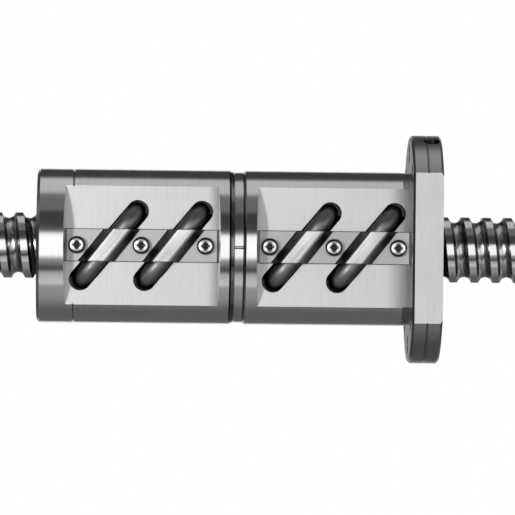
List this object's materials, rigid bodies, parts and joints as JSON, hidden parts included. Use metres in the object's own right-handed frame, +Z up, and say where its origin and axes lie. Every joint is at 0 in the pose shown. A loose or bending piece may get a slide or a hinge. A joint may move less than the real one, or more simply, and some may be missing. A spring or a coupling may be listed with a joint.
{
  "type": "ball screw",
  "caption": "Ball screw: threaded shaft through a preloaded double nut with a round flange, a split spacer, return tubes under clamp straps and machined shaft ends.",
  "frame": {"origin": "on the screw axis, in the plane of the flange face that seats on the housing", "axes": "+X along the screw axis from the plain nut towards the flange, +Z up, the milled flats with the return tubes face -Y"},
  "size_m": [0.4671, 0.0944, 0.1074],
  "materials": {
    "ground_steel": "ground steel with fine turning marks",
    "spacer_steel": "ground steel",
    "screw_steel": "hardened steel, ground crests and darker thread grooves",
    "tube_steel": "drawn steel tube",
    "strap_steel": "pressed steel sheet",
    "plated_screws": "bright plated steel",
    "spring_steel": "dark spring steel",
    "black_oxide": "black oxide on steel",
    "ball_steel": "polished bearing steel",
    "seal_plastic": "dark moulded plastic"
  },
  "bodies": {
    "nut_pair": {"flanged_nut": "ground_steel", "plain_nut": "ground_steel", "spacer_half_upper": "spacer_steel", "spacer_half_lower": "spacer_steel", "return_tube_1": "tube_steel", "return_tube_2": "tube_steel", "return_tube_3": "tube_steel", "return_tube_4": "tube_steel", "clamp_strap_left": "strap_steel", "clamp_strap_right": "strap_steel", "strap_screw_1": "plated_screws", "strap_screw_2": "plated_screws", "strap_screw_3": "plated_screws", "strap_screw_4": "plated_screws", "strap_screw_5": "plated_screws", "strap_screw_6": "plated_screws", "lock_washer_1": "spring_steel", "lock_washer_2": "spring_steel", "lock_washer_3": "spring_steel", "lock_washer_4": "spring_steel", "lock_washer_5": "spring_steel", "lock_washer_6": "spring_steel", "circlip_left": "spring_steel", "circlip_right": "spring_steel", "alignment_key": "black_oxide", "key_screw_1": "black_oxide", "key_screw_2": "black_oxide", "bearing_balls": "ball_steel"},
    "seal_rings": {"seal_ring_left": "seal_plastic", "seal_ring_right": "seal_plastic"},
    "screw": {"screw_shaft": "screw_steel"}
  },
  "joints": [
    {"name": "screw_turn", "type": "hinge", "parent": "nut_pair", "child": "seal_rings", "pos_m": [0, 0, 0], "axis": [1, 0, 0], "range_deg": [-2160, 2160]},
    {"name": "screw_travel", "type": "slide", "parent": "seal_rings", "child": "screw", "axis": [1, 0, 0], "range_m": [-0.06, 0.06]}
  ],
  "couplings": [
    {"joint": "screw_travel", "follows": "screw_turn", "m_per_rad": 0.0015915}
  ]
}
